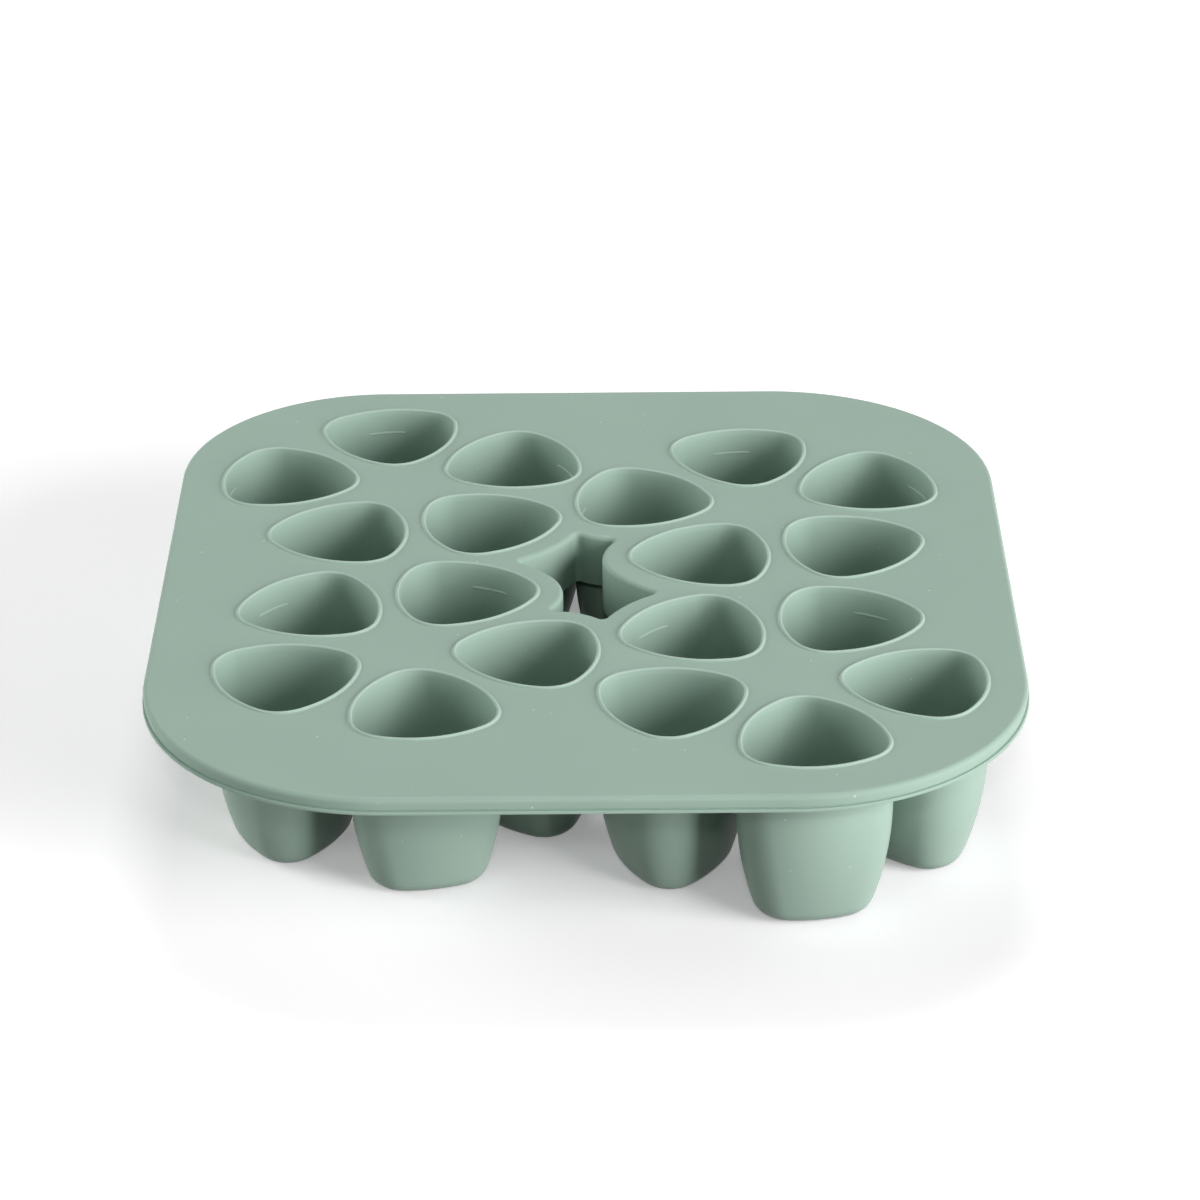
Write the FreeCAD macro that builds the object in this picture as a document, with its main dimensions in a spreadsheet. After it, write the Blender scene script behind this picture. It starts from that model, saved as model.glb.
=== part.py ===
import FreeCAD, Part
import math
import os
import Sketcher
from FreeCAD import Placement, Rotation, Vector

# Freezer tray for baby food: one soft moulding with twenty deep cups, built here as its moulded
# regions, each a solid of its own: the flat deck, the thick rim round it, the wall that hangs
# from the star-shaped hole in the middle, the twenty cups and the fill marks inside them.
# Millimetres and degrees. +Z is up and +Y runs along the tray. The origin is the middle of the
# footprint, on the surface that the feet of the cups stand on.

DRIVING_SIZES = [
    # alias, value, what it is
    ("side_margin", 2.54, "from the outermost cup's reach to the rim, at the tray's sides"),
    ("end_margin", 4.49, "the same at the tray's ends"),
    ("back_left_corner", 44.0, "radius of the tray's back left corner in plan"),
    ("back_right_corner", 49.5, "radius of the back right corner"),
    ("front_left_corner", 51.5, "radius of the front left corner"),
    ("front_right_corner", 50.0, "radius of the front right corner"),
    ("rim_height", 3.5, "height of the rim"),
    ("rim_width", 5.0, "width of the rim's ring in plan"),
    ("rim_round", 1.0, "rounding of the rim's top outer edge"),
    ("band_height", 0.7, "height of the thin band at the foot of the rim, at the mould's parting"),
    ("band_proud", 0.2, "how far that band stands out of the rim"),
    ("deck_thickness", 2.2, "thickness of the flat deck inside the rim"),
    ("cup_depth", 38.4, "from the top of the deck to the flat feet of the cups"),
    ("cup_wall", 1.2, "thickness of a cup's wall and floor"),
    ("lip_height", 0.45, "how far the rounded lip of a cup stands above the deck"),
    ("corner_spread", 8.24, "from a cup's axis to the centre of each rounded corner in plan"),
    ("foot_corner", 0.65, "corner radius of the flat foot in plan"),
    ("foot_side", 15.95, "radius of the foot's three bowed sides in plan"),
    ("heel_radius", 4.6, "rounding between the flat foot and the wall"),
    ("wall_curve", 69.0, "radius of the long curve that draws the wall in towards the foot"),
    ("wall_lean", 18.5, "lean of the wall from upright, in degrees, where it meets the heel"),
    ("cup_gap", 2.83, "between neighbouring cups of one ring, at deck level"),
    ("back_left_nest_x", 0.93, "how far the back left ring crosses the tray's middle line, across"),
    ("back_left_nest_y", -4.51, "how far it crosses the middle line along the tray; less is short"),
    ("back_left_angle", 26.4, "direction of its first cup, in degrees"),
    ("back_right_nest_x", 3.09, "the same for the back right ring, across"),
    ("back_right_nest_y", 7.99, "the same, along"),
    ("back_right_angle", 25.8, "direction of its first cup, in degrees"),
    ("front_left_nest_x", 3.53, "the same for the front left ring, across"),
    ("front_left_nest_y", 9.55, "the same, along"),
    ("front_left_angle", -7.6, "direction of its first cup, in degrees"),
    ("front_right_nest_x", -0.31, "the same for the front right ring, across"),
    ("front_right_nest_y", -3.45, "the same, along"),
    ("front_right_angle", -10.2, "direction of its first cup, in degrees"),
    ("star_margin", 4.7, "deck left between the star-shaped hole and the cups round it"),
    ("star_right_margin", 5.35, "the same at the one cup on the right of the star"),
    ("star_tip_round", 1.0, "rounding of the star's points and corners in plan"),
    ("star_edge_round", 1.0, "rounding of the deck's top edge round the star-shaped hole"),
    ("skirt_depth", 12.0, "from the top of the deck to the lower edge of the hole's hanging wall"),
    ("skirt_wall", 1.4, "thickness of that wall"),
    ("mark_drop", 5.3, "from the top of the deck down to the middle of a fill mark"),
    ("mark_length", 9.0, "length of a fill mark, along the wall"),
    ("mark_height", 0.7, "height of a fill mark"),
    ("mark_proud", 0.25, "how far a fill mark stands out of the wall"),
]

# The four rings of cups, one to a corner of the tray: the side and the end it stands at.
RINGS = {
    "back_left": (-1, 1), "back_right": (1, 1), "front_left": (-1, -1), "front_right": (1, -1),
}
CORNERS_ROUND_TRAY = ["back_right", "back_left", "front_left", "front_right"]
PETALS = 5
CORNERS = 3
# The six cups round the star-shaped hole, as (ring, petal, margin), in order round it.
CUPS_ROUND_STAR = [
    ("back_left", 4, "star_margin"), ("back_right", 2, "star_margin"),
    ("back_right", 3, "star_right_margin"), ("front_right", 2, "star_margin"),
    ("front_left", 0, "star_margin"), ("front_left", 1, "star_margin"),
]

TINY = 1e-4

# Expressions for what follows from the driving sizes.
# The sides of a cup are arcs about centres this far behind the cup's axis.
SIDE_CENTRE = (
    "((sqrt(4 * pow(sizes.foot_side - sizes.foot_corner; 2) - 3 * pow(sizes.corner_spread; 2))"
    " - sizes.corner_spread) / 2)"
)
FOOT_REACH = f"(sizes.foot_side - {SIDE_CENTRE})"
# How far the upright part of the wall stands outside the edge of the foot.
WALL_SET = (
    "(sizes.wall_curve * (1 - cos(sizes.wall_lean)) + sizes.heel_radius * cos(sizes.wall_lean))"
)
CURVE_TOP = (
    "(sizes.heel_radius * (1 - sin(sizes.wall_lean)) + sizes.wall_curve * sin(sizes.wall_lean))"
)
# Neighbouring cups of a ring face each other a little off the middle of their sides.
OFF_SIDE = 90 + 180 / PETALS - 360 / CORNERS
PETAL_REACH = (
    f"((sizes.foot_side + {WALL_SET} - {SIDE_CENTRE} * cos({OFF_SIDE}) + sizes.cup_gap / 2)"
    f" / sin({180 / PETALS}))"
)
RING_REACH = f"({PETAL_REACH} + {FOOT_REACH} + {WALL_SET})"
DECK_BOTTOM = "(sizes.cup_depth - sizes.deck_thickness)"
RIM_BOTTOM = "(sizes.cup_depth - sizes.rim_height)"
LIP_SPRING = "(sizes.cup_depth + sizes.lip_height - sizes.cup_wall / 2)"
SKIRT_BOTTOM = "(sizes.cup_depth - sizes.skirt_depth)"


def ring_across(ring):
    return f"({RING_REACH} - sizes.{ring}_nest_x)"


def ring_along(ring):
    return f"({RING_REACH} - sizes.{ring}_nest_y)"


def furthest(distances):
    return f"max({'; '.join(distances)})"


# Half the tray, to the foot of the rim.
HALF_WIDTH = (
    f"({furthest([ring_across(ring) for ring in RINGS])}"
    f" + {RING_REACH} + sizes.side_margin + sizes.rim_width)"
)
HALF_LENGTH = (
    f"({furthest([ring_along(ring) for ring in RINGS])}"
    f" + {RING_REACH} + sizes.end_margin + sizes.rim_width)"
)

doc = FreeCAD.newDocument("freezer_tray")


def make_sheet():
    sheet = doc.addObject("Spreadsheet::Sheet", "sizes")
    for row, (alias, value, meaning) in enumerate(DRIVING_SIZES, start=1):
        sheet.set(f"A{row}", meaning)
        sheet.set(f"B{row}", str(value))
        sheet.setAlias(f"B{row}", alias)
    doc.recompute()
    return sheet


sizes = make_sheet()


def value_of(expression):
    """The number that an expression over the sheet gives now."""
    result = sizes.evalExpression(expression.replace("sizes.", ""))
    return float(getattr(result, "Value", result))


def bind(thing, bindings):
    for path, expression in bindings.items():
        thing.setExpression(path, expression)


# ---------------------------------------------------------------- sketches


def in_plan(reach, angle):
    return Vector(reach * math.cos(angle), reach * math.sin(angle), 0)


def arc_of(centre, radius, start, end):
    circle = Part.Circle(centre, Vector(0, 0, 1), radius)
    return Part.ArcOfCircle(circle, start, end)


def cup_outline(name, growth, height):
    """A cup's rounded triangle in plan, grown outwards from its foot, starting on the X axis.

    Three tight corner arcs alternate with three wide side arcs, all tangent. The side across
    the X axis is drawn in two halves, so that the outline has a point on that axis.
    """
    sketch = doc.addObject("Sketcher::SketchObject", name)
    corner = value_of(f"sizes.foot_corner + {growth}")
    side = value_of(f"sizes.foot_side + {growth}")
    back = value_of(SIDE_CENTRE)
    spread = value_of("sizes.corner_spread")
    step = 2 * math.pi / CORNERS
    corner_centre = in_plan(spread, step / 2)
    half_side = math.atan2(corner_centre.y, corner_centre.x + back)
    for number in range(CORNERS):
        facing = number * step
        side_centre = in_plan(-back, facing)
        if number == 0:
            sketch.addGeometry(arc_of(side_centre, side, 0, half_side))
        else:
            sketch.addGeometry(arc_of(side_centre, side, facing - half_side, facing + half_side))
        sketch.addGeometry(arc_of(
            in_plan(spread, facing + step / 2), corner,
            facing + half_side, facing + step - half_side))
    sketch.addGeometry(arc_of(in_plan(-back, 0), side, -half_side, 0))

    start, end, centre = 1, 2, 3
    last = 2 * CORNERS
    for arc in range(last):
        sketch.addConstraint(Sketcher.Constraint("Tangent", arc, end, arc + 1, start))
    sketch.addConstraint(Sketcher.Constraint("Coincident", last, end, 0, start))
    sketch.addConstraint(Sketcher.Constraint("Coincident", last, centre, 0, centre))
    sketch.addConstraint(Sketcher.Constraint("PointOnObject", 0, start, -1))
    for number in range(CORNERS):
        side_arc = 2 * number
        corner_arc = side_arc + 1
        rule = sketch.addConstraint(Sketcher.Constraint("Radius", side_arc, side))
        sketch.setExpression(f"Constraints[{rule}]", f"sizes.foot_side + {growth}")
        rule = sketch.addConstraint(Sketcher.Constraint("Radius", corner_arc, corner))
        sketch.setExpression(f"Constraints[{rule}]", f"sizes.foot_corner + {growth}")
        facing = 360 / CORNERS * (number + 0.5)
        place = in_plan(spread, math.radians(facing))
        rule = sketch.addConstraint(
            Sketcher.Constraint("DistanceX", corner_arc, centre, place.x))
        sketch.setExpression(f"Constraints[{rule}]", f"sizes.corner_spread * cos({facing})")
        if abs(place.y) < TINY:
            sketch.addConstraint(Sketcher.Constraint("PointOnObject", corner_arc, centre, -1))
            continue
        rule = sketch.addConstraint(
            Sketcher.Constraint("DistanceY", corner_arc, centre, place.y))
        sketch.setExpression(f"Constraints[{rule}]", f"sizes.corner_spread * sin({facing})")
    bind(sketch, {"Placement.Base.z": height})
    return sketch


def tray_outline(sketch, inset):
    """The tray's outline in plan, with its own radius at each corner, drawn inside by an inset."""
    half_x = value_of(f"{HALF_WIDTH} - {inset}")
    half_y = value_of(f"{HALF_LENGTH} - {inset}")
    quarter = math.pi / 2
    corners = []
    for name in CORNERS_ROUND_TRAY:
        side, end = RINGS[name]
        radius = value_of(f"sizes.{name}_corner - {inset}")
        corners.append((Vector(side * (half_x - radius), end * (half_y - radius), 0), radius))
    # Counter-clockwise from the back right: each corner, then the straight side after it.
    for number, (centre, radius) in enumerate(corners):
        next_centre, next_radius = corners[(number + 1) % len(corners)]
        out = in_plan(1, (number + 1) * quarter)
        sketch.addGeometry(arc_of(centre, radius, number * quarter, (number + 1) * quarter))
        sketch.addGeometry(Part.LineSegment(
            centre + out * radius, next_centre + out * next_radius))

    start, end = 1, 2
    pieces = 2 * len(corners)
    for piece in range(pieces):
        following = (piece + 1) % pieces
        sketch.addConstraint(Sketcher.Constraint("Tangent", piece, end, following, start))
    for corner_arc, name in zip(range(0, pieces, 2), CORNERS_ROUND_TRAY):
        radius = f"sizes.{name}_corner - {inset}"
        rule = sketch.addConstraint(
            Sketcher.Constraint("Radius", corner_arc, value_of(radius)))
        sketch.setExpression(f"Constraints[{rule}]", radius)
    back, left, front, right = 1, 3, 5, 7
    for side, level, kind, sign, half in (
            (back, "Horizontal", "DistanceY", 1, HALF_LENGTH),
            (left, "Vertical", "DistanceX", -1, HALF_WIDTH),
            (front, "Horizontal", "DistanceY", -1, HALF_LENGTH),
            (right, "Vertical", "DistanceX", 1, HALF_WIDTH)):
        sketch.addConstraint(Sketcher.Constraint(level, side))
        reach = f"{sign} * ({half} - {inset})"
        rule = sketch.addConstraint(Sketcher.Constraint(kind, side, start, value_of(reach)))
        sketch.setExpression(f"Constraints[{rule}]", reach)
    return sketch


def wall_profile(name):
    """A cup's wall in section, in the XZ plane, drawn outwards from the edge of the foot.

    From the foot it turns up round the heel, leans out along one long curve, stands upright
    through the deck and ends in the rounded lip. The inside runs back at one wall's distance.
    """
    sketch = doc.addObject("Sketcher::SketchObject", name)
    heel = value_of("sizes.heel_radius")
    curve = value_of("sizes.wall_curve")
    lean = math.radians(value_of("sizes.wall_lean"))
    wall = value_of("sizes.cup_wall")
    outside = value_of(WALL_SET)
    curve_top = value_of(CURVE_TOP)
    lip_spring = value_of(LIP_SPRING)
    down = -math.pi / 2
    heel_centre = Vector(0, heel, 0)
    curve_centre = Vector(outside - curve, curve_top, 0)
    lip_centre = Vector(outside - wall / 2, lip_spring, 0)
    sketch.addGeometry(arc_of(heel_centre, heel, down, -lean))
    sketch.addGeometry(arc_of(curve_centre, curve, -lean, 0))
    sketch.addGeometry(Part.LineSegment(
        Vector(outside, curve_top, 0), Vector(outside, lip_spring, 0)))
    sketch.addGeometry(arc_of(lip_centre, wall / 2, 0, math.pi))
    sketch.addGeometry(Part.LineSegment(
        Vector(outside - wall, lip_spring, 0), Vector(outside - wall, curve_top, 0)))
    sketch.addGeometry(arc_of(curve_centre, curve - wall, -lean, 0))
    sketch.addGeometry(arc_of(heel_centre, heel - wall, down, -lean))
    sketch.addGeometry(Part.LineSegment(Vector(0, wall, 0), Vector(0, 0, 0)))

    start, end, centre = 1, 2, 3
    heel_out, curve_out, upright_out, lip, upright_in, curve_in, heel_in, foot_edge = range(8)
    for first, first_end, second, second_end in (
            (heel_out, end, curve_out, start), (curve_out, end, upright_out, start),
            (upright_out, end, lip, start), (lip, end, upright_in, start),
            (upright_in, end, curve_in, end), (curve_in, start, heel_in, end)):
        sketch.addConstraint(
            Sketcher.Constraint("Tangent", first, first_end, second, second_end))
    sketch.addConstraint(Sketcher.Constraint("Coincident", heel_in, start, foot_edge, start))
    sketch.addConstraint(Sketcher.Constraint("Coincident", foot_edge, end, heel_out, start))
    sketch.addConstraint(Sketcher.Constraint("Coincident", foot_edge, end, -1, start))
    sketch.addConstraint(Sketcher.Constraint("Coincident", heel_in, centre, heel_out, centre))
    sketch.addConstraint(Sketcher.Constraint("Coincident", curve_in, centre, curve_out, centre))
    sketch.addConstraint(Sketcher.Constraint("PointOnObject", heel_out, centre, -2))
    sketch.addConstraint(Sketcher.Constraint("Vertical", foot_edge))
    sketch.addConstraint(Sketcher.Constraint("Vertical", upright_out))
    for kind, place, size, expression in (
            ("Radius", (heel_out,), heel, "sizes.heel_radius"),
            ("Radius", (curve_out,), curve, "sizes.wall_curve"),
            ("Radius", (lip,), wall / 2, "sizes.cup_wall / 2"),
            ("DistanceX", (upright_out, start), outside, WALL_SET),
            ("DistanceY", (lip, centre), lip_spring, LIP_SPRING)):
        rule = sketch.addConstraint(Sketcher.Constraint(kind, *place, size))
        sketch.setExpression(f"Constraints[{rule}]", expression)
    sketch.Placement = Placement(Vector(), Rotation(Vector(1, 0, 0), 90))
    bind(sketch, {"Placement.Base.x": FOOT_REACH})
    return sketch


# ---------------------------------------------------------------- small builders


def extrude(name, sketch, length):
    solid = doc.addObject("Part::Extrusion", name)
    solid.Base = sketch
    solid.DirMode = "Custom"
    solid.Dir = Vector(0, 0, 1)
    solid.Solid = True
    solid.LengthFwd = value_of(length)
    bind(solid, {"LengthFwd": length})
    return solid


def cut(name, base, tool):
    solid = doc.addObject("Part::Cut", name)
    solid.Base = base
    solid.Tool = tool
    return solid


def gather(name, pieces):
    group = doc.addObject("Part::Compound", name)
    group.Links = pieces
    return group


def cup_angle(ring, petal):
    return f"(sizes.{ring}_angle + {petal} * 360 / {PETALS})"


def cup_x(ring, petal):
    side = RINGS[ring][0]
    return f"{side} * {ring_across(ring)} + {PETAL_REACH} * cos({cup_angle(ring, petal)})"


def cup_y(ring, petal):
    end = RINGS[ring][1]
    return f"{end} * {ring_along(ring)} + {PETAL_REACH} * sin({cup_angle(ring, petal)})"


def at_cup(name, piece, ring, petal):
    """A copy of a piece drawn about a cup's axis, set where that cup stands in its ring."""
    copy = doc.addObject("App::Link", name)
    copy.LinkedObject = piece
    copy.Placement = Placement(Vector(), Rotation(Vector(0, 0, 1), value_of(cup_angle(ring, petal))))
    bind(copy, {
        "Placement.Base.x": cup_x(ring, petal),
        "Placement.Base.y": cup_y(ring, petal),
        "Placement.Rotation.Angle": cup_angle(ring, petal),
    })
    return copy


ALL_CUPS = [(ring, petal) for ring in RINGS for petal in range(PETALS)]


# ---------------------------------------------------------------- cups


def make_cup_pattern():
    """One cup about its own axis: the wall swept round the edge of its foot, and the floor."""
    foot = cup_outline("cup_foot_outline", "0", "0")
    profile = wall_profile("cup_wall_profile")
    doc.recompute()
    wall = doc.addObject("Part::Sweep", "cup_wall_sweep")
    wall.Sections = [profile]
    wall.Spine = (foot, [])
    wall.Solid = True
    wall.Frenet = False
    floor = extrude("cup_floor", foot, "sizes.cup_wall")
    pattern = doc.addObject("Part::MultiFuse", "cup_pattern")
    pattern.Shapes = [wall, floor]
    pattern.Refine = True
    return pattern


def make_cups(pattern):
    return [
        at_cup(f"cup_{number:02d}", pattern, ring, petal)
        for number, (ring, petal) in enumerate(ALL_CUPS, start=1)
    ]


def make_fill_marks():
    """The short raised line inside each cup, on the side that faces out of its ring."""
    profile = doc.addObject("Sketcher::SketchObject", "mark_profile")
    half_height = value_of("sizes.mark_height / 2")
    proud = value_of("sizes.mark_proud")
    # In section a low round bar: a chord against the wall and an arc that bulges into the cup.
    radius = (half_height ** 2 + proud ** 2) / (2 * proud)
    half_angle = math.atan2(half_height, radius - proud)
    profile.addGeometry(Part.LineSegment(Vector(0, half_height, 0), Vector(0, -half_height, 0)))
    profile.addGeometry(arc_of(
        Vector(radius - proud, 0, 0), radius, math.pi - half_angle, math.pi + half_angle))
    start, end = 1, 2
    chord, bulge = 0, 1
    profile.addConstraint(Sketcher.Constraint("Coincident", chord, start, bulge, start))
    profile.addConstraint(Sketcher.Constraint("Coincident", chord, end, bulge, end))
    profile.addConstraint(Sketcher.Constraint("Symmetric", chord, start, chord, end, -1))
    profile.addConstraint(Sketcher.Constraint("PointOnObject", chord, start, -2))
    for kind, place, size, expression in (
            ("Distance", (chord,), 2 * half_height, "sizes.mark_height"),
            ("Radius", (bulge,), radius,
             "(pow(sizes.mark_height / 2; 2) + pow(sizes.mark_proud; 2)) / (2 * sizes.mark_proud)")):
        rule = profile.addConstraint(Sketcher.Constraint(kind, *place, size))
        profile.setExpression(f"Constraints[{rule}]", expression)
    profile.Placement = Placement(Vector(), Rotation(Vector(1, 0, 0), 90))
    inside_wall = f"({FOOT_REACH} + {WALL_SET} - sizes.cup_wall)"
    bind(profile, {
        "Placement.Base.x": inside_wall,
        "Placement.Base.z": "sizes.cup_depth - sizes.mark_drop",
    })

    mark = doc.addObject("Part::Revolution", "mark_pattern")
    mark.Source = profile
    mark.Axis = Vector(0, 0, 1)
    mark.Solid = True
    mark.Symmetric = True
    bind(mark, {
        "Base.x": f"-{SIDE_CENTRE}",
        "Angle": f"sizes.mark_length / ({inside_wall} + {SIDE_CENTRE}) * 180 / pi",
    })
    marks = [
        at_cup(f"mark_in_cup_{number:02d}", mark, ring, petal)
        for number, (ring, petal) in enumerate(ALL_CUPS, start=1)
    ]
    return gather("fill_marks", marks)


# ---------------------------------------------------------------- deck and star-shaped hole


def lies_at(edge, height):
    box = edge.BoundBox
    return abs(box.ZMin - height) < TINY and abs(box.ZMax - height) < TINY


def numbers_of(shape, wanted):
    return [number for number, edge in enumerate(shape.Edges, start=1) if wanted(edge)]


def round_edges(name, base, numbers, radius):
    rounded = doc.addObject("Part::Fillet", name)
    rounded.Base = base
    rounded.Edges = [(number, radius, radius) for number in numbers]
    return rounded


def make_star_outline():
    """The star in plan: a margin off the walls of the six middle cups, with rounded points."""
    hexagon = doc.addObject("Sketcher::SketchObject", "star_hexagon")
    corners = [(cup_x(ring, petal), cup_y(ring, petal)) for ring, petal, _ in CUPS_ROUND_STAR]
    points = [Vector(value_of(x), value_of(y), 0) for x, y in corners]
    start, end = 1, 2
    for number, point in enumerate(points):
        hexagon.addGeometry(Part.LineSegment(point, points[(number + 1) % len(points)]))
    for number in range(len(points)):
        following = (number + 1) % len(points)
        hexagon.addConstraint(Sketcher.Constraint("Coincident", number, end, following, start))
    for number, (x, y) in enumerate(corners):
        for kind, expression in (("DistanceX", x), ("DistanceY", y)):
            rule = hexagon.addConstraint(
                Sketcher.Constraint(kind, number, start, value_of(expression)))
            hexagon.setExpression(f"Constraints[{rule}]", expression)
    sheet = doc.addObject("Part::Face", "star_sheet")
    sheet.Sources = [hexagon]
    sheet.FaceMakerClass = "Part::FaceMakerBullseye"

    # The middles of the rounded points lie where the cups' outlines cross at this distance.
    prisms = {}
    for margin in ("star_margin", "star_right_margin"):
        keep_off = f"({WALL_SET} + sizes.{margin} + sizes.star_tip_round)"
        outline = cup_outline(f"{margin}_outline", keep_off, "0")
        prisms[margin] = extrude(f"{margin}_prism", outline, "sizes.cup_depth")
    kept_off = [
        at_cup(f"star_keep_off_{ring}_{petal}", prisms[margin], ring, petal)
        for ring, petal, margin in CUPS_ROUND_STAR
    ]
    pointed = cut("star_pointed", sheet, gather("star_keep_offs", kept_off))
    return grow("star_outline", pointed, "sizes.star_tip_round")


def grow(name, outline, distance):
    """A flat outline grown outwards, its points turning into arcs of that radius."""
    grown = doc.addObject("Part::Offset2D", name)
    grown.Source = outline
    grown.Value = value_of(distance)
    grown.Join = "Arc"
    bind(grown, {"Value": distance})
    return grown


def make_deck(star):
    """The flat deck inside the rim, with a hole round the neck of each cup and the star."""
    outline = doc.addObject("Sketcher::SketchObject", "deck_outline")
    tray_outline(outline, "sizes.rim_width")
    bind(outline, {"Placement.Base.z": DECK_BOTTOM})
    plate = extrude("deck_blank", outline, "sizes.deck_thickness")

    neck_outline = cup_outline("neck_outline", WALL_SET, "0")
    neck = extrude("neck", neck_outline, "sizes.cup_depth + sizes.lip_height")
    necks = [at_cup(f"neck_{ring}_{petal}", neck, ring, petal) for ring, petal in ALL_CUPS]
    around_cups = cut("deck_around_cups", plate, gather("necks", necks))
    opened = cut("deck_opened", around_cups, star)
    doc.recompute()

    deck_top = value_of("sizes.cup_depth")

    def is_star_edge(edge):
        if not lies_at(edge, deck_top):
            return False
        middle = edge.valueAt((edge.FirstParameter + edge.LastParameter) / 2)
        return star.Shape.isInside(middle, TINY, True)

    star_edges = numbers_of(opened.Shape, is_star_edge)
    return round_edges("deck_plate", opened, star_edges, value_of("sizes.star_edge_round"))


def make_skirt(outline, star):
    """The wall that hangs from the edge of the star-shaped hole."""
    outer_outline = grow("skirt_outline", outline, "sizes.skirt_wall")
    outer = extrude("skirt_outer", outer_outline, "sizes.skirt_depth - sizes.deck_thickness")
    bind(outer, {"Placement.Base.z": SKIRT_BOTTOM})
    return cut("star_hole_skirt", outer, star)


# ---------------------------------------------------------------- rim


def make_rim():
    """The thick ring round the deck, rounded on top, with a thin band at its foot."""
    body = doc.addObject("PartDesign::Body", "rim")
    ground = next(
        plane for plane in body.Origin.OriginFeatures if plane.Role == "XY_Plane")

    def sketch_on_rim(name, inset):
        sketch = body.newObject("Sketcher::SketchObject", name)
        sketch.AttachmentSupport = (ground, [""])
        sketch.MapMode = "FlatFace"
        bind(sketch, {"AttachmentOffset.Base.z": RIM_BOTTOM})
        tray_outline(sketch, inset)
        return sketch

    def pad(name, sketch, length):
        feature = body.newObject("PartDesign::Pad", name)
        feature.Profile = sketch
        bind(feature, {"Length": length})
        return feature

    pad("rim_ring_pad", sketch_on_rim("rim_outline", "sizes.band_proud"), "sizes.rim_height")
    solid = pad("rim_band_pad", sketch_on_rim("band_outline", "0"), "sizes.band_height")
    doc.recompute()

    rim_top = value_of("sizes.cup_depth")
    top_edges = numbers_of(solid.Shape, lambda edge: lies_at(edge, rim_top))
    rounding = body.newObject("PartDesign::Fillet", "rim_rounding")
    rounding.Base = (solid, [f"Edge{number}" for number in top_edges])
    bind(rounding, {"Radius": "sizes.rim_round"})
    doc.recompute()

    opening = body.newObject("PartDesign::Pocket", "rim_opening")
    opening.Profile = sketch_on_rim("rim_opening_outline", "sizes.rim_width")
    opening.Type = "ThroughAll"
    opening.Reversed = True
    doc.recompute()
    if opening.Shape.Volume >= rounding.Shape.Volume:
        raise RuntimeError("the rim's opening removed nothing")
    body.Tip = opening
    return body


# ---------------------------------------------------------------- the tray


def check_document():
    faults = [
        f"{thing.Name}: {thing.State}" for thing in doc.Objects
        if "Invalid" in thing.State or "Error" in thing.State
    ]
    if faults:
        raise RuntimeError("; ".join(faults))


def write_nodes(nodes):
    for node in nodes:
        shape = node.Shape
        if shape.isNull() or not shape.isValid() or not shape.Solids:
            raise RuntimeError(f"{node.Label} has no valid solid")
    os.makedirs("parts", exist_ok=True)
    for node in nodes:
        node.Shape.exportStep(f"parts/{node.Label}.step")


cup_pattern = make_cup_pattern()
star_outline = make_star_outline()
star_hole = extrude("star_hole", star_outline, "sizes.cup_depth + sizes.lip_height")
nodes = [make_deck(star_hole), make_rim(), make_skirt(star_outline, star_hole)]
nodes.append(make_fill_marks())
nodes += make_cups(cup_pattern)
doc.recompute()
check_document()
write_nodes(nodes)
for node in nodes:
    print(f"{node.Label}: {len(node.Shape.Solids)} solids, {node.Shape.Volume:.1f} mm3")
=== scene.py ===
import math

import bmesh
import bpy
from mathutils import Euler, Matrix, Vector


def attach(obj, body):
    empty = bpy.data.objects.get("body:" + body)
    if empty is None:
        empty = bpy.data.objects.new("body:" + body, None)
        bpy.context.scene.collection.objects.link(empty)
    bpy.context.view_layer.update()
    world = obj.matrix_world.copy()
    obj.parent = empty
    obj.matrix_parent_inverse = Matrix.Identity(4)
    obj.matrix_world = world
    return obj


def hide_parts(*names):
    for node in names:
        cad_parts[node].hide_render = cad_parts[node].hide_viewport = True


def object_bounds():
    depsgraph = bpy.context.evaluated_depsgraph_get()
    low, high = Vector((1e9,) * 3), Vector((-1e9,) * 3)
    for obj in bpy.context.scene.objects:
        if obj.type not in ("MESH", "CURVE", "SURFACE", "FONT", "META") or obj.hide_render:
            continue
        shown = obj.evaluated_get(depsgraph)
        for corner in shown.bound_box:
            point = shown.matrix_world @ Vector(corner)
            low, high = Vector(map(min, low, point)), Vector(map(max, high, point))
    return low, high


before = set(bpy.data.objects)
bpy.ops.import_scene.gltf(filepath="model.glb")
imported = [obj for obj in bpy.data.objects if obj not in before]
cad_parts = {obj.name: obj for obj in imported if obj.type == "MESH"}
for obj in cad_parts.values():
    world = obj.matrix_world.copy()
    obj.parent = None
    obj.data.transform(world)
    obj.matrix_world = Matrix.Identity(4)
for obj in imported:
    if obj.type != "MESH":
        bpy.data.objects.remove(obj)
cad_low, cad_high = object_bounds()

# Millimetres and degrees here, as in the CAD; metres only where a mesh or a lamp is made.
MM = 0.001

# ---------------------------------------------------------------- sizes

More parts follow.
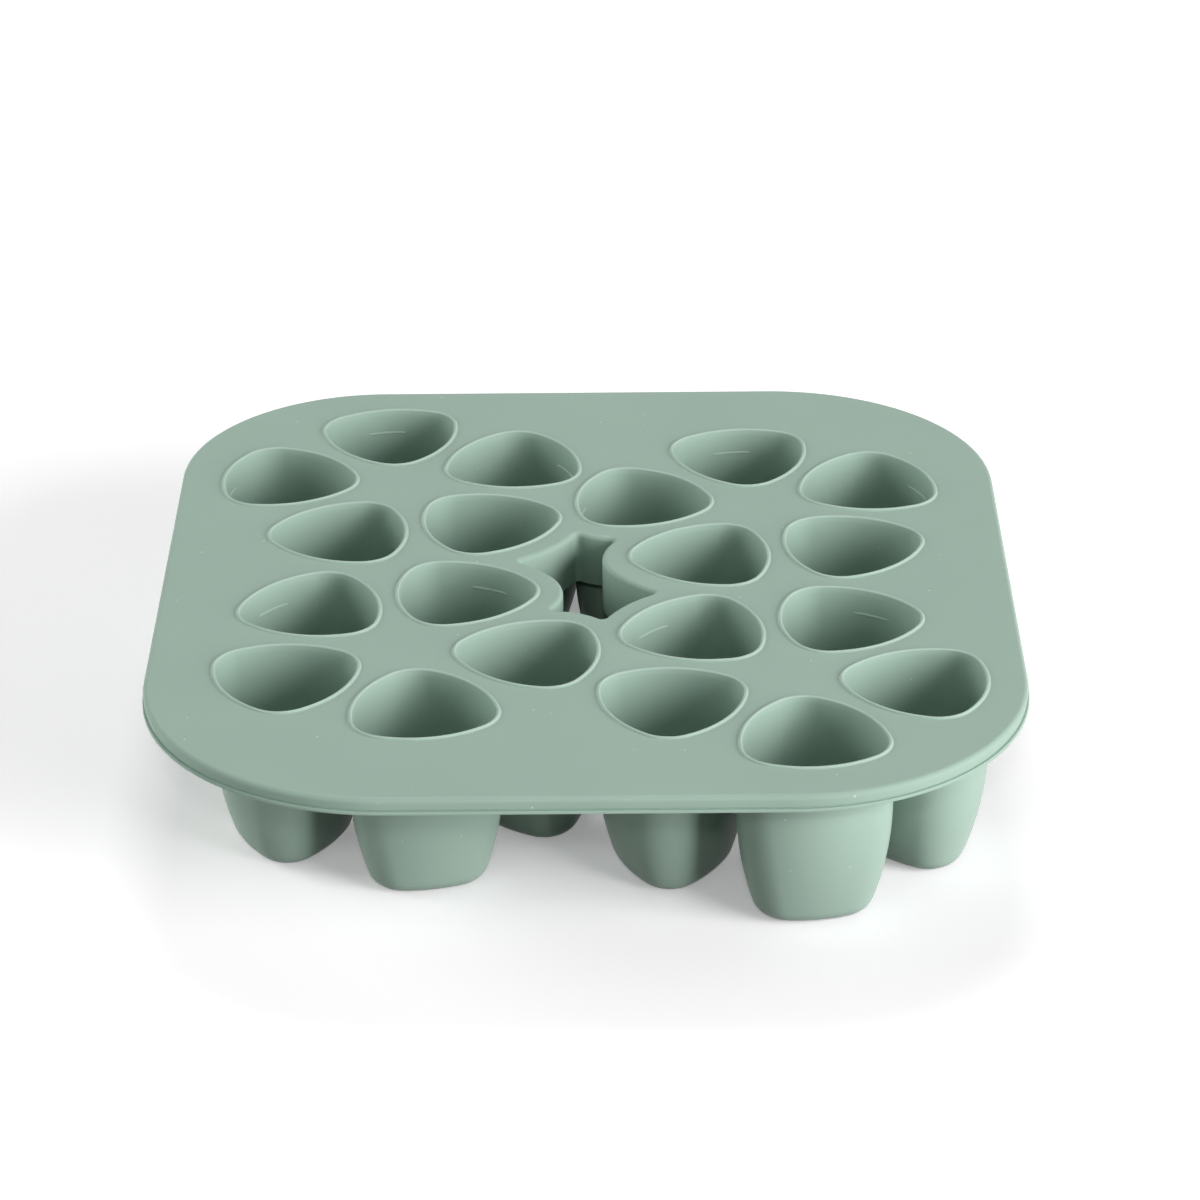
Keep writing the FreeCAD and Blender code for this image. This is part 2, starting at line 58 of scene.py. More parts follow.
HALF_WIDTH, HALF_LENGTH = cad_high[0] / MM, cad_high[1] / MM
TRAY_CORNERS = {  # which side and end, and the radius, counter-clockwise
    "back_right": (1, 1, 49.5),
    "back_left": (-1, 1, 44.0),
    "front_left": (-1, -1, 51.5),
    "front_right": (1, -1, 50.0),
}
RIM_HEIGHT, RIM_WIDTH, RIM_ROUND = 3.5, 5.0, 1.0
BAND_HEIGHT, BAND_PROUD = 0.7, 0.2
DECK_THICKNESS = 2.2
CUP_DEPTH, CUP_WALL, LIP_HEIGHT = 38.4, 1.2, 0.45
CORNER_SPREAD, FOOT_CORNER, FOOT_SIDE = 8.24, 0.65, 15.95
HEEL_RADIUS, WALL_CURVE, WALL_LEAN = 4.6, 69.0, math.radians(18.5)
PETAL_REACH = 27.1
RINGS = {  # x and y of the middle, and the direction of the first cup
    "back_left": (-40.64, 46.08, 26.4),
    "back_right": (38.48, 33.58, 25.8),
    "front_left": (-38.04, -32.02, -7.6),
    "front_right": (41.88, -45.02, -10.2),
}
PETALS, CORNERS = 5, 3
STAR_MARGIN, STAR_RIGHT_MARGIN = 4.7, 5.35
STAR_TIP_ROUND, STAR_EDGE_ROUND = 1.0, 1.0
SKIRT_DEPTH, SKIRT_WALL = 12.0, 1.4
MARK_DROP, MARK_LENGTH, MARK_HEIGHT, MARK_PROUD = 5.3, 9.0, 0.7, 0.25
CUPS_ROUND_STAR = [  # ring, petal and the deck left between cup and star
    ("back_left", 4, STAR_MARGIN), ("front_left", 1, STAR_MARGIN),
    ("front_left", 0, STAR_MARGIN), ("front_right", 2, STAR_MARGIN),
    ("back_right", 3, STAR_RIGHT_MARGIN), ("back_right", 2, STAR_MARGIN),
]

SIDE_CENTRE = (
    math.sqrt(4 * (FOOT_SIDE - FOOT_CORNER) ** 2 - 3 * CORNER_SPREAD ** 2) - CORNER_SPREAD) / 2
WALL_SET = WALL_CURVE * (1 - math.cos(WALL_LEAN)) + HEEL_RADIUS * math.cos(WALL_LEAN)
CURVE_TOP = HEEL_RADIUS * (1 - math.sin(WALL_LEAN)) + WALL_CURVE * math.sin(WALL_LEAN)
DECK_TOP = CUP_DEPTH
DECK_BOTTOM = DECK_TOP - DECK_THICKNESS
RIM_BOTTOM = DECK_TOP - RIM_HEIGHT
SKIRT_BOTTOM = DECK_TOP - SKIRT_DEPTH
LIP_TOP = DECK_TOP + LIP_HEIGHT

# What follows is finer than the solids.
# The rounds between deck and lips, below the deck, and on edges that hang free.
CREASE_ROUND, ROOT_ROUND, EDGE_ROUND = 0.3, 0.7, 0.35
# How much larger the radius of a cup's outer corners is at the foot; it dwindles to the deck.
CORNER_EASE = 2.5
# The lip is a bead, narrower than the wall, with its middle a little inside the wall's middle.
LIP_ROUND, LIP_SHIFT = 0.4, 0.05
LIP_CENTRE = (WALL_SET - CUP_WALL / 2 - LIP_SHIFT, LIP_TOP - LIP_ROUND)
# Inside the cup the bead runs out into the wall between these depths below the deck's top.
BEAD_ENDS, WALL_STARTS, BEAD_END_STEP = 0.5, 1.1, 0.03
# The rim's side leans in towards a groove over the band; the groove's floor is a narrow strip.
SIDE_LEAN = 0.2
GROOVE_HEIGHT, GROOVE_DEPTH = 0.32, 0.2
GROOVE_FLOOR_FROM, GROOVE_FLOOR_TO = 0.03, 0.12
BAND_TOP_ROUND, BAND_FOOT_ROUND = 0.18, 0.08
# How far a face or a fill mark runs into its neighbour.
SUNK, MARK_SUNK = 0.1, 0.05
# A flat face gets a narrow border of its own, so that it shades flat beside a round.
BORDER = 0.12
# A row of vertices this far below the deck keeps the upright wall straight.
UPRIGHT_ROW = 4.0


# ---------------------------------------------------------------- outlines
# An outline is a closed list of (point, outward normal) in plan, counter-clockwise.


def towards(angle):
    return Vector((math.cos(angle), math.sin(angle)))


def arc(centre, radius, start, end, steps):
    """Points of an arc with their normals, without the last one."""
    result = []
    for step in range(steps):
        out = towards(start + (end - start) * step / steps)
        result.append((centre + out * radius, out))
    return result


def cup_outline(side_steps=48, corner_steps=20, eased=0.0):
    """The edge of a cup's foot about the cup's axis, its corners eased to a larger radius."""
    turn = 2 * math.pi / CORNERS
    spread, corner_radius = CORNER_SPREAD - eased, FOOT_CORNER + eased
    reach = FOOT_SIDE - SIDE_CENTRE - corner_radius
    side_centre = (spread ** 2 - reach ** 2) / (2 * reach - spread)
    side_radius = side_centre + reach + corner_radius
    corner = towards(turn / 2) * spread
    half_side = math.atan2(corner.y, corner.x + side_centre)
    result = []
    for number in range(CORNERS):
        facing = number * turn
        result += arc(
            -towards(facing) * side_centre, side_radius, facing - half_side, facing + half_side,
            side_steps)
        result += arc(
            towards(facing + turn / 2) * spread, corner_radius,
            facing + half_side, facing + turn - half_side, corner_steps)
    return result


def tray_outline(corner_steps=64, side_steps=8):
    """The tray's outer edge."""
    corners = [
        (Vector((side * (HALF_WIDTH - radius), end * (HALF_LENGTH - radius))), radius)
        for side, end, radius in TRAY_CORNERS.values()
    ]
    quarter = math.pi / 2
    result = []
    for number, (centre, radius) in enumerate(corners):
        start = number * quarter
        result += arc(centre, radius, start, start + quarter, corner_steps)
        next_centre, next_radius = corners[(number + 1) % len(corners)]
        out = towards(start + quarter)
        last, following = centre + out * radius, next_centre + out * next_radius
        for step in range(side_steps):
            result.append((last.lerp(following, step / side_steps), out))
    return result


def moved(outline, place, turn):
    cos, sin = math.cos(turn), math.sin(turn)

    def turned(v):
        return Vector((v.x * cos - v.y * sin, v.x * sin + v.y * cos))

    return [(place + turned(point), turned(out)) for point, out in outline]


def grown(outline, growth):
    return [point + out * growth for point, out in outline]


def cup_place(ring, petal):
    """The axis of a cup in plan and the way it points, in radians."""
    x, y, turn = RINGS[ring]
    angle = math.radians(turn + petal * 360 / PETALS)
    return Vector((x, y)) + towards(angle) * PETAL_REACH, angle


ALL_CUPS = [(ring, petal) for ring in RINGS for petal in range(PETALS)]
CUP_OUTLINE = cup_outline()


def off_cup(point, place, angle):
    """How far a point in plan lies outside the edge of a cup's foot."""
    local = point - place
    cos, sin = math.cos(-angle), math.sin(-angle)
    local = Vector((local.x * cos - local.y * sin, local.x * sin + local.y * cos))
    turn = 2 * math.pi / CORNERS
    facing = round(math.atan2(local.y, local.x) / turn) * turn
    from_side = local + towards(facing) * SIDE_CENTRE
    corner = towards(turn / 2) * CORNER_SPREAD
    half_side = math.atan2(corner.y, corner.x + SIDE_CENTRE)
    swing = math.atan2(from_side.y, from_side.x) - facing
    swing = (swing + math.pi) % (2 * math.pi) - math.pi
    if abs(swing) <= half_side:
        return from_side.length - FOOT_SIDE
    side = 1 if swing > 0 else -1
    return (local - towards(facing + side * turn / 2) * CORNER_SPREAD).length - FOOT_CORNER


def star_outline(spacing=12, tip_steps=12):
    """The star between the six middle cups, a margin off their walls, its tips rounded."""
    cups_round = [
        (*cup_place(ring, petal), WALL_SET + margin) for ring, petal, margin in CUPS_ROUND_STAR]
    middle = sum((place for place, _, _ in cups_round), Vector((0, 0))) / len(cups_round)
    fine = cup_outline(side_steps=600, corner_steps=300)
    runs = []
    for place, angle, keep_off in cups_round:
        others = [other for other in cups_round if other[0] is not place]

        def borders_star(point, out):
            centre = point + out * (keep_off + STAR_TIP_ROUND)
            return (out.dot(middle - place) > 0
                    and (centre - middle).length < (place - middle).length
                    and all(off_cup(centre, *other[:2]) >= other[2] + STAR_TIP_ROUND
                            for other in others))

        around = moved(fine, place, angle)
        kept = [borders_star(point, out) for point, out in around]
        first = next(at for at in range(len(kept)) if kept[at] and not kept[at - 1])
        run = []
        while kept[(first + len(run)) % len(kept)]:
            point, out = around[(first + len(run)) % len(kept)]
            run.append((point + out * keep_off, -out))
        runs.append(run[::-1])
    result = []
    for number, run in enumerate(runs):
        result += run[:-1:spacing] + run[-1:]
        (point, out), (next_point, next_out) = run[-1], runs[(number + 1) % len(runs)][0]
        tip = (point - out * STAR_TIP_ROUND + next_point - next_out * STAR_TIP_ROUND) / 2
        start = math.atan2(out.y, out.x)
        sweep = (math.atan2(next_out.y, next_out.x) - start) % (2 * math.pi)
        result += arc(tip, STAR_TIP_ROUND, start, start + sweep, tip_steps)[1:]
    return result


# ---------------------------------------------------------------- meshes

SHARP_ANGLE = math.radians(35)


def new_piece(name, build):
    """A smooth mesh object that build(bm) draws in millimetres."""
    bm = bmesh.new()
    build(bm)
    bmesh.ops.recalc_face_normals(bm, faces=bm.faces)
    for vertex in bm.verts:
        vertex.co *= MM
    mesh = bpy.data.meshes.new(name)
    bm.to_mesh(mesh)
    bm.free()
    mesh.shade_smooth()
    mesh.set_sharp_from_angle(angle=SHARP_ANGLE)
    piece = bpy.data.objects.new(name, mesh)
    bpy.context.scene.collection.objects.link(piece)
    return piece


def ring_of(bm, points, height):
    return [bm.verts.new((point.x, point.y, height)) for point in points]


def bridge(bm, lower, upper):
    count = len(lower)
    for here in range(count):
        there = (here + 1) % count
        bm.faces.new((lower[here], lower[there], upper[there], upper[here]))


def sweep(bm, outline, profile):
    """A closed wall round an outline: profile is a list of (growth, height)."""
    rings = [ring_of(bm, grown(outline, growth), height) for growth, height in profile]
    for lower, upper in zip(rings, rings[1:]):
        bridge(bm, lower, upper)
    bridge(bm, rings[-1], rings[0])


def cap(bm, ring, height):
    """Closes a ring about the cup's axis with smaller and smaller rings."""
    last = ring
    for share in (0.75, 0.5, 0.25):
        smaller = ring_of(bm, [Vector(v.co.xy) * share for v in ring], height)
        bridge(bm, last, smaller)
        last = smaller
    middle = bm.verts.new((0, 0, height))
    for here in range(len(last)):
        bm.faces.new((last[here], last[(here + 1) % len(last)], middle))


def turn_profile(centre, radius, start, end, steps):
    """Points of an arc in a profile, both ends included, angles in radians."""
    return [
        (centre[0] + radius * math.cos(start + (end - start) * step / steps),
         centre[1] + radius * math.sin(start + (end - start) * step / steps))
        for step in range(steps + 1)
    ]


def build_cup(bm):
    """A cup about its own axis: up the outside, over the lip, down the inside, and the floor."""
    heel = (0, HEEL_RADIUS)
    curve = (WALL_SET - WALL_CURVE, CURVE_TOP)
    inside = WALL_SET - CUP_WALL
    down = -math.pi / 2
    outer = turn_profile(heel, HEEL_RADIUS, down, -WALL_LEAN, steps=10)
    outer += turn_profile(curve, WALL_CURVE, -WALL_LEAN, 0, steps=16)[1:]
    outer += [(WALL_SET, DECK_BOTTOM - UPRIGHT_ROW), (WALL_SET, DECK_TOP - LIP_ROUND)]
    inner = turn_profile(LIP_CENTRE, LIP_ROUND, 0, math.pi, steps=12)
    inner += [(inside + BEAD_END_STEP, DECK_TOP - BEAD_ENDS), (inside, DECK_TOP - WALL_STARTS)]
    inner += turn_profile(curve, WALL_CURVE - CUP_WALL, 0, -WALL_LEAN, steps=16)
    inner += turn_profile(heel, HEEL_RADIUS - CUP_WALL, -WALL_LEAN, down, steps=10)[1:]
    rings = []
    for growth, height in outer:
        below_deck = max(0.0, 1 - height / DECK_BOTTOM)
        eased = cup_outline(eased=CORNER_EASE * below_deck)
        rings.append(ring_of(bm, grown(eased, growth), height))
    rings += [ring_of(bm, grown(CUP_OUTLINE, growth), height) for growth, height in inner]
    for lower, upper in zip(rings, rings[1:]):
        bridge(bm, lower, upper)
    cap(bm, rings[0], 0)
    cap(bm, rings[-1], CUP_WALL)


cup_pattern = new_piece("cup_pattern", build_cup).data
bpy.data.objects.remove(bpy.data.objects["cup_pattern"])
cups = []
for number, cup in enumerate(ALL_CUPS, start=1):
    place, angle = cup_place(*cup)
    piece = bpy.data.objects.new(f"moulded_cup_{number:02d}", cup_pattern)
    piece.location = (place.x * MM, place.y * MM, 0)
    piece.rotation_euler = (0, 0, angle)
    bpy.context.scene.collection.objects.link(piece)
    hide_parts(f"cup_{number:02d}")
    cups.append(piece)


def build_rim(bm):
    """The rim in section, from its inner edge round the foot, the band and the side to the top."""
    band_top = RIM_BOTTOM + BAND_HEIGHT
    side = -BAND_PROUD
    side_foot = side - SIDE_LEAN
    groove = side_foot - GROOVE_DEPTH
    inner_edge = (-RIM_WIDTH + EDGE_ROUND, RIM_BOTTOM + EDGE_ROUND)
    band_foot = (-BAND_FOOT_ROUND, RIM_BOTTOM + BAND_FOOT_ROUND)
    band_edge = (-BAND_TOP_ROUND, band_top - BAND_TOP_ROUND)
    top_edge = (side - RIM_ROUND, DECK_TOP - RIM_ROUND)
    profile = [(-RIM_WIDTH, DECK_TOP), (-RIM_WIDTH, DECK_BOTTOM)]
    profile += turn_profile(inner_edge, EDGE_ROUND, -math.pi, -math.pi / 2, steps=5)
    profile += [(inner_edge[0] + BORDER, RIM_BOTTOM), (band_foot[0] - BORDER, RIM_BOTTOM)]
    profile += turn_profile(band_foot, BAND_FOOT_ROUND, -math.pi / 2, 0, steps=4)
    profile += turn_profile(band_edge, BAND_TOP_ROUND, 0, math.pi / 2, steps=4)
    profile += [(groove, band_top + GROOVE_FLOOR_FROM), (groove, band_top + GROOVE_FLOOR_TO)]
    profile += [(side_foot, band_top + GROOVE_HEIGHT), (side, top_edge[1] - BORDER)]
    profile += turn_profile(top_edge, RIM_ROUND, 0, math.pi / 2, steps=14)
    profile += [(top_edge[0] - BORDER, DECK_TOP)]
    sweep(bm, tray_outline(), profile)


rim = new_piece("moulded_rim", build_rim)
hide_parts("rim")


def loops_filled(bm, loops, height):
    """A flat face at a height with an outer loop and holes, cut into triangles."""
    edges = []
    rings = []
    for loop in loops:
        ring = ring_of(bm, loop, height)
        rings.append(ring)
        for here in range(len(ring)):
            edges.append(bm.edges.new((ring[here], ring[(here + 1) % len(ring)])))
    bmesh.ops.triangle_fill(bm, use_beauty=True, use_dissolve=False, edges=edges)
    return rings


STAR = star_outline()


def lip_crease():
    """The round between the deck and the side of a lip, from the deck up: (growth, height)."""
    lip = Vector(LIP_CENTRE)
    apart = CREASE_ROUND + LIP_ROUND
    rise = DECK_TOP + CREASE_ROUND - lip.y
    centre = Vector((lip.x + math.sqrt(apart ** 2 - rise ** 2), lip.y + rise))
    meets = math.atan2(lip.y - centre.y, lip.x - centre.x)
    return turn_profile(centre, CREASE_ROUND, -math.pi / 2, meets, steps=6)


def root_round(growth):
    """The round between the deck's underside and a wall that hangs from it, from the deck down."""
    centre = (growth + ROOT_ROUND, DECK_BOTTOM - ROOT_ROUND)
    return turn_profile(centre, ROOT_ROUND, math.pi / 2, math.pi, steps=6)


def run_down(bm, ring, outline, profile):
    """Carries on from a ring of vertices along a profile."""
    for growth, height in profile:
        following = ring_of(bm, grown(outline, growth), height)
        bridge(bm, following, ring)
        ring = following


def build_deck(bm):
    """The deck, and the rounds that lead from it to each lip, cup and the star's hanging wall."""
    outer = grown(tray_outline(), -RIM_WIDTH)
    necks = [moved(CUP_OUTLINE, *cup_place(*cup)) for cup in ALL_CUPS]
    crease, root, skirt_root = lip_crease(), root_round(WALL_SET), root_round(SKIRT_WALL)
    top = loops_filled(
        bm, [outer, *(grown(neck, crease[0][0] + BORDER) for neck in necks),
             grown(STAR, STAR_EDGE_ROUND + BORDER)], DECK_TOP)
    bottom = loops_filled(
        bm, [outer, *(grown(neck, root[0][0] + BORDER) for neck in necks),
             grown(STAR, skirt_root[0][0] + BORDER)], DECK_BOTTOM)
    bridge(bm, bottom[0], top[0])
    for neck, upper, lower in zip(necks, top[1:], bottom[1:]):
        run_down(bm, upper, neck, crease + [(crease[-1][0] - SUNK, crease[-1][1])])
        run_down(bm, lower, neck, root + [(WALL_SET - SUNK, root[-1][1])])
    edge = (STAR_EDGE_ROUND, DECK_TOP - STAR_EDGE_ROUND)
    fillet = turn_profile(edge, STAR_EDGE_ROUND, math.pi / 2, math.pi, steps=8)
    run_down(bm, top[-1], STAR, fillet + [(0, edge[1] - BORDER), (0, DECK_BOTTOM)])
    run_down(bm, bottom[-1], STAR, skirt_root + [(SKIRT_WALL - SUNK, skirt_root[-1][1])])


deck = new_piece("moulded_deck", build_deck)
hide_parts("deck_plate")


def build_skirt(bm):
    """The wall that hangs from the star-shaped hole, its lower edges rounded."""
    low = SKIRT_BOTTOM + EDGE_ROUND
    inner_edge, outer_edge = (EDGE_ROUND, low), (SKIRT_WALL - EDGE_ROUND, low)
    profile = [(0, DECK_BOTTOM), (0, low + BORDER)]
    profile += turn_profile(inner_edge, EDGE_ROUND, -math.pi, -math.pi / 2, steps=5)
    profile += turn_profile(outer_edge, EDGE_ROUND, -math.pi / 2, 0, steps=5)
    profile += [(SKIRT_WALL, low + BORDER), (SKIRT_WALL, DECK_BOTTOM)]
    sweep(bm, STAR, profile)


skirt = new_piece("moulded_star_skirt", build_skirt)
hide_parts("star_hole_skirt")


def build_marks(bm):
    """A low half-round bar along the inside of each cup's outermost wall, tapered at its ends."""
    along, across = 24, 8
    bluntness, thinnest = 6, 0.05
    wall = FOOT_SIDE + WALL_SET - CUP_WALL
    half_length = MARK_LENGTH / 2
    for cup in ALL_CUPS:
        place, angle = cup_place(*cup)
        centre = place - towards(angle) * SIDE_CENTRE
        rows = []
        for step in range(along + 1):
            reach = -half_length + MARK_LENGTH * step / along
            taper = math.sqrt(max(0.0, 1 - abs(reach / half_length) ** bluntness))
            out = towards(angle + reach / wall)
            row = []
            for turn in range(across + 1):
                bulge = math.pi * turn / across
                depth = MARK_PROUD * math.sin(bulge) * taper
                rise = MARK_HEIGHT / 2 * math.cos(bulge) * max(taper, thinnest)
                point = centre + out * (wall + MARK_SUNK - depth)
                row.append(bm.verts.new((point.x, point.y, CUP_DEPTH - MARK_DROP + rise)))
            rows.append(row)
        for here, there in zip(rows, rows[1:]):
            for turn in range(across):
                bm.faces.new((here[turn], there[turn], there[turn + 1], here[turn + 1]))


marks = new_piece("moulded_fill_marks", build_marks)
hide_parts("fill_marks")

# ---------------------------------------------------------------- material

SAGE_DARK, SAGE_LIGHT = (0.307, 0.436, 0.358, 1), (0.321, 0.454, 0.373, 1)
# The lip colour is a painted highlight, standing in for the light that the thin lips catch.
LIP_HIGHLIGHT_COLOUR, DUST = (0.390, 0.522, 0.445, 1), (0.72, 0.76, 0.73, 1)
# The painted highlight on the lips fades in between these heights.
LIP_HIGHLIGHT_FROM, LIP_HIGHLIGHT_TO = DECK_TOP + 0.15, DECK_TOP + 0.3
# How many patches of each noise go to the metre, and the range that most of a noise lies in.
MOTTLE_SCALE, SHEEN_SCALE, GRAIN_SCALE = 35, 220, 2600
NOISE_LOW, NOISE_HIGH = 0.3, 0.7
SMOOTHEST, ROUGHEST = 0.42, 0.5
GRAIN_HEIGHT, GRAIN_STRENGTH = 0.00004, 0.3
# How many cells of dust go to the metre, and the radius of a speck in its cell.
DUST_SCALE, SPECK_CORE, SPECK_EDGE = 300, 0.05, 0.075
# A cell draws a number from 0 to 1: clean below the first share, dusty above the second.
CLEAN_BELOW, DUSTY_ABOVE, DUST_STRENGTH = 0.84, 0.85, 0.7
SILICONE_IOR, SPECULAR_LEVEL = 1.41, 0.16
COAT_WEIGHT, COAT_ROUGHNESS = 0.2, 0.2


def make_silicone(name, highlight_all_over=False):
    """Matte sage silicone, faintly mottled, with a few specks of dust and a painted highlight that
    makes the thin lips paler.
    """
    material = bpy.data.materials.new(name)
    material.use_nodes = True
    nodes, links = material.node_tree.nodes, material.node_tree.links
    shader = nodes["Principled BSDF"]
    place = nodes.new("ShaderNodeTexCoord").outputs["Object"]

    def noise(scale, detail):
        texture = nodes.new("ShaderNodeTexNoise")
        texture.inputs["Scale"].default_value = scale
        texture.inputs["Detail"].default_value = detail
        links.new(place, texture.inputs["Vector"])
        return texture.outputs["Fac"]

    def mapped(value, from_low, from_high, low, high):
        scaled = nodes.new("ShaderNodeMapRange")
        scaled.inputs["From Min"].default_value = from_low
        scaled.inputs["From Max"].default_value = from_high
        scaled.inputs["To Min"].default_value = low
        scaled.inputs["To Max"].default_value = high
        links.new(value, scaled.inputs["Value"])
        return scaled.outputs["Result"]

    def mixed(share, first, second):
        """Two colours mixed; each is a colour or another node's output."""
        mix = nodes.new("ShaderNodeMix")
        mix.data_type = "RGBA"
        links.new(share, mix.inputs["Factor"])
        for socket, colour in (("A", first), ("B", second)):
            if isinstance(colour, tuple):
                mix.inputs[socket].default_value = colour
            else:
                links.new(colour, mix.inputs[socket])
        return mix.outputs["Result"]

    def mottled_and_highlit():
        """The silicone's colour: mottled at random, with a painted highlight on the lips or all
        over.
        """
        share = mapped(noise(MOTTLE_SCALE, detail=4), NOISE_LOW, NOISE_HIGH, 0, 1)
        mottle = mixed(share, SAGE_DARK, SAGE_LIGHT)
        height = nodes.new("ShaderNodeSeparateXYZ")
        links.new(place, height.inputs["Vector"])
        # With the flag set, the painted highlight covers the whole piece, not only the lips.
        lowest = 1 if highlight_all_over else 0
        # Painted highlight: above the deck the colour pales towards the lip colour.
        lip_highlight = mapped(height.outputs["Z"], LIP_HIGHLIGHT_FROM * MM, LIP_HIGHLIGHT_TO * MM, lowest, 1)
        return mixed(lip_highlight, mottle, LIP_HIGHLIGHT_COLOUR)

    def dusted():
        """How much of the colour is dust: a round speck in a few of the cells."""
        cells = nodes.new("ShaderNodeTexVoronoi")
        cells.inputs["Scale"].default_value = DUST_SCALE
        links.new(place, cells.inputs["Vector"])
        chance = nodes.new("ShaderNodeSeparateColor")
        links.new(cells.outputs["Color"], chance.inputs["Color"])
        speck = mapped(cells.outputs["Distance"], SPECK_EDGE, SPECK_CORE, 0, 1)
        dusty = mapped(chance.outputs["Red"], CLEAN_BELOW, DUSTY_ABOVE, 0, DUST_STRENGTH)
        dust = nodes.new("ShaderNodeMath")
        dust.operation = "MULTIPLY"
        links.new(speck, dust.inputs[0])
        links.new(dusty, dust.inputs[1])
        return dust.outputs["Value"]

    links.new(mixed(dusted(), mottled_and_highlit(), DUST), shader.inputs["Base Color"])
    sheen = noise(SHEEN_SCALE, detail=3)
    links.new(
        mapped(sheen, NOISE_LOW, NOISE_HIGH, SMOOTHEST, ROUGHEST), shader.inputs["Roughness"])
    bump = nodes.new("ShaderNodeBump")
    bump.inputs["Distance"].default_value = GRAIN_HEIGHT
    bump.inputs["Strength"].default_value = GRAIN_STRENGTH
    links.new(noise(GRAIN_SCALE, detail=2), bump.inputs["Height"])
    links.new(bump.outputs["Normal"], shader.inputs["Normal"])
    shader.inputs["IOR"].default_value = SILICONE_IOR
    shader.inputs["Specular IOR Level"].default_value = SPECULAR_LEVEL
    shader.inputs["Coat Weight"].default_value = COAT_WEIGHT
    shader.inputs["Coat Roughness"].default_value = COAT_ROUGHNESS
    shader.inputs["Coat IOR"].default_value = SILICONE_IOR
    return material


silicone = make_silicone("matte_sage_silicone")
# A copy with the painted highlight all over, for the raised fill marks.
highlit_silicone = make_silicone("sage_silicone_painted_highlight", highlight_all_over=True)
for piece in (*cups, rim, deck, skirt, marks):
    piece.data.materials.clear()
    piece.data.materials.append(highlit_silicone if piece is marks else silicone)
    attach(piece, "root")

# ---------------------------------------------------------------- floor, light and camera

# The floor looks white, glow included, but sends less light up among the cups.
FLOOR_FOR_LIGHT, FLOOR_FOR_CAMERA = (0.2, 0.2, 0.2, 1), (1, 1, 1, 1)
FLOOR_GLOW, FLOOR_ROUGHNESS = 0.26, 0.9
FLOOR_REACH, FLOOR_DROP = 6, 0.0002
WHITE = (1, 1, 1, 1)
SKY, SKY_STRENGTH = (0.97, 0.985, 1.0, 1), 0.03
LAMPS_AIM, LAMPS_DISTANCE = Vector((0, 0, 0.02)), 1.5
CAMERA_PLACE = (0.006807, -0.864217, 0.469540)
CAMERA_ELEVATION, CAMERA_HEADING, CAMERA_ROLL = 26.815, 0.2538, -0.5626
LENS, SENSOR_WIDTH = 135.1, 36


def seen_directly(nodes, links):
    """1 for what the camera sees, straight or mirrored, and 0 for light on its way elsewhere."""
    path = nodes.new("ShaderNodeLightPath")
    seen = path.outputs["Is Camera Ray"]
    for kind in ("Is Glossy Ray", "Is Transmission Ray"):
        either = nodes.new("ShaderNodeMath")
        either.operation = "MAXIMUM"
        links.new(seen, either.inputs[0])
        links.new(path.outputs[kind], either.inputs[1])
        seen = either.outputs["Value"]
    return seen


def make_floor():
    bm = bmesh.new()
    bmesh.ops.create_grid(bm, x_segments=1, y_segments=1, size=FLOOR_REACH)
    mesh = bpy.data.meshes.new("floor")
    bm.to_mesh(mesh)
    bm.free()
    floor = bpy.data.objects.new("floor", mesh)
    floor.location.z = -FLOOR_DROP
    bpy.context.scene.collection.objects.link(floor)
    material = bpy.data.materials.new("pale_floor")
    material.use_nodes = True
    nodes, links = material.node_tree.nodes, material.node_tree.links
    shader = nodes["Principled BSDF"]
    shader.inputs["Roughness"].default_value = FLOOR_ROUGHNESS
    shader.inputs["Emission Color"].default_value = WHITE
    seen = seen_directly(nodes, links)
    colour = nodes.new("ShaderNodeMix")
    colour.data_type = "RGBA"
    colour.inputs["A"].default_value = FLOOR_FOR_LIGHT
    colour.inputs["B"].default_value = FLOOR_FOR_CAMERA
    links.new(seen, colour.inputs["Factor"])
    links.new(colour.outputs["Result"], shader.inputs["Base Color"])
    glow = nodes.new("ShaderNodeMath")
    glow.operation = "MULTIPLY"
    glow.inputs[1].default_value = FLOOR_GLOW
    links.new(seen, glow.inputs[0])
    links.new(glow.outputs["Value"], shader.inputs["Emission Strength"])
    mesh.materials.append(material)


make_floor()


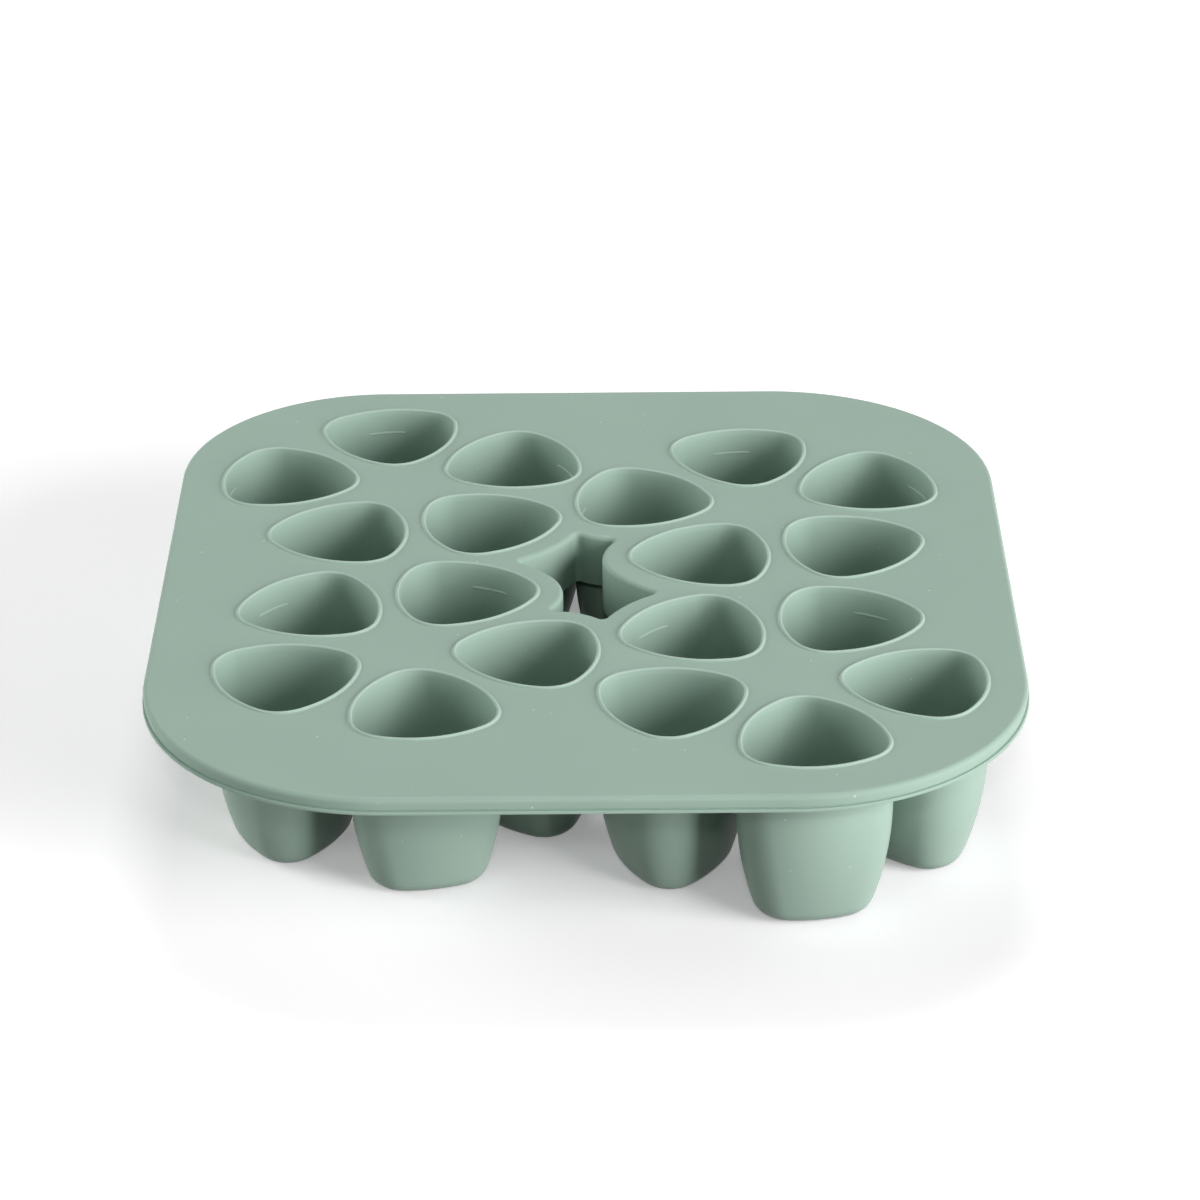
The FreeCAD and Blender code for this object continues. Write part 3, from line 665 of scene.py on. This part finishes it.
def make_world():
    world = bpy.data.worlds.new("studio")
    bpy.context.scene.world = world
    world.use_nodes = True
    nodes, links = world.node_tree.nodes, world.node_tree.links
    light = nodes["Background"]
    light.inputs["Color"].default_value = SKY
    light.inputs["Strength"].default_value = SKY_STRENGTH
    backdrop = nodes.new("ShaderNodeBackground")
    backdrop.inputs["Color"].default_value = WHITE
    choice = nodes.new("ShaderNodeMixShader")
    links.new(seen_directly(nodes, links), choice.inputs["Fac"])
    links.new(light.outputs["Background"], choice.inputs[1])
    links.new(backdrop.outputs["Background"], choice.inputs[2])
    links.new(choice.outputs["Shader"], nodes["World Output"].inputs["Surface"])


make_world()


def softbox(name, azimuth, elevation, size, power, colour=(1, 1, 1), glossy=True):
    """A square area lamp; azimuth 0 is in front of the tray and 90 is on its right."""
    lamp = bpy.data.lights.new(name, "AREA")
    lamp.color = colour
    lamp.shape = "SQUARE"
    lamp.size = size
    lamp.energy = power
    box = bpy.data.objects.new(name, lamp)
    turn, lift = math.radians(azimuth), math.radians(elevation)
    away = Vector((
        math.sin(turn) * math.cos(lift), -math.cos(turn) * math.cos(lift), math.sin(lift)))
    box.location = LAMPS_AIM + away * LAMPS_DISTANCE
    box.rotation_mode = "QUATERNION"
    box.rotation_quaternion = away.to_track_quat("Z", "Y")
    box.visible_camera = False
    box.visible_glossy = glossy
    bpy.context.scene.collection.objects.link(box)


# The low lamps aren't mirrored: from the other side their glare would whiten the whole deck.
softbox(
    "key", azimuth=56, elevation=16.5, size=0.9, power=34, colour=(1, 0.95, 0.985), glossy=False)
softbox("back", azimuth=180, elevation=55, size=0.5, power=6.3)
softbox("left", azimuth=-102, elevation=21, size=0.9, power=13, glossy=False)
softbox("fill", azimuth=-42, elevation=12, size=0.8, power=2.6, glossy=False)
softbox("front", azimuth=0, elevation=34, size=0.09, power=1.9)


def make_camera():
    data = bpy.data.cameras.new("camera")
    data.lens = LENS
    data.sensor_width = SENSOR_WIDTH
    camera = bpy.data.objects.new("camera", data)
    camera.location = CAMERA_PLACE
    camera.rotation_mode = "QUATERNION"
    aimed = Euler((math.radians(90 - CAMERA_ELEVATION), 0, math.radians(CAMERA_HEADING)))
    rolled = Euler((0, 0, math.radians(CAMERA_ROLL)))
    camera.rotation_quaternion = aimed.to_quaternion() @ rolled.to_quaternion()
    bpy.context.scene.collection.objects.link(camera)
    bpy.context.scene.camera = camera


make_camera()
bpy.context.scene.view_settings.view_transform = "Standard"
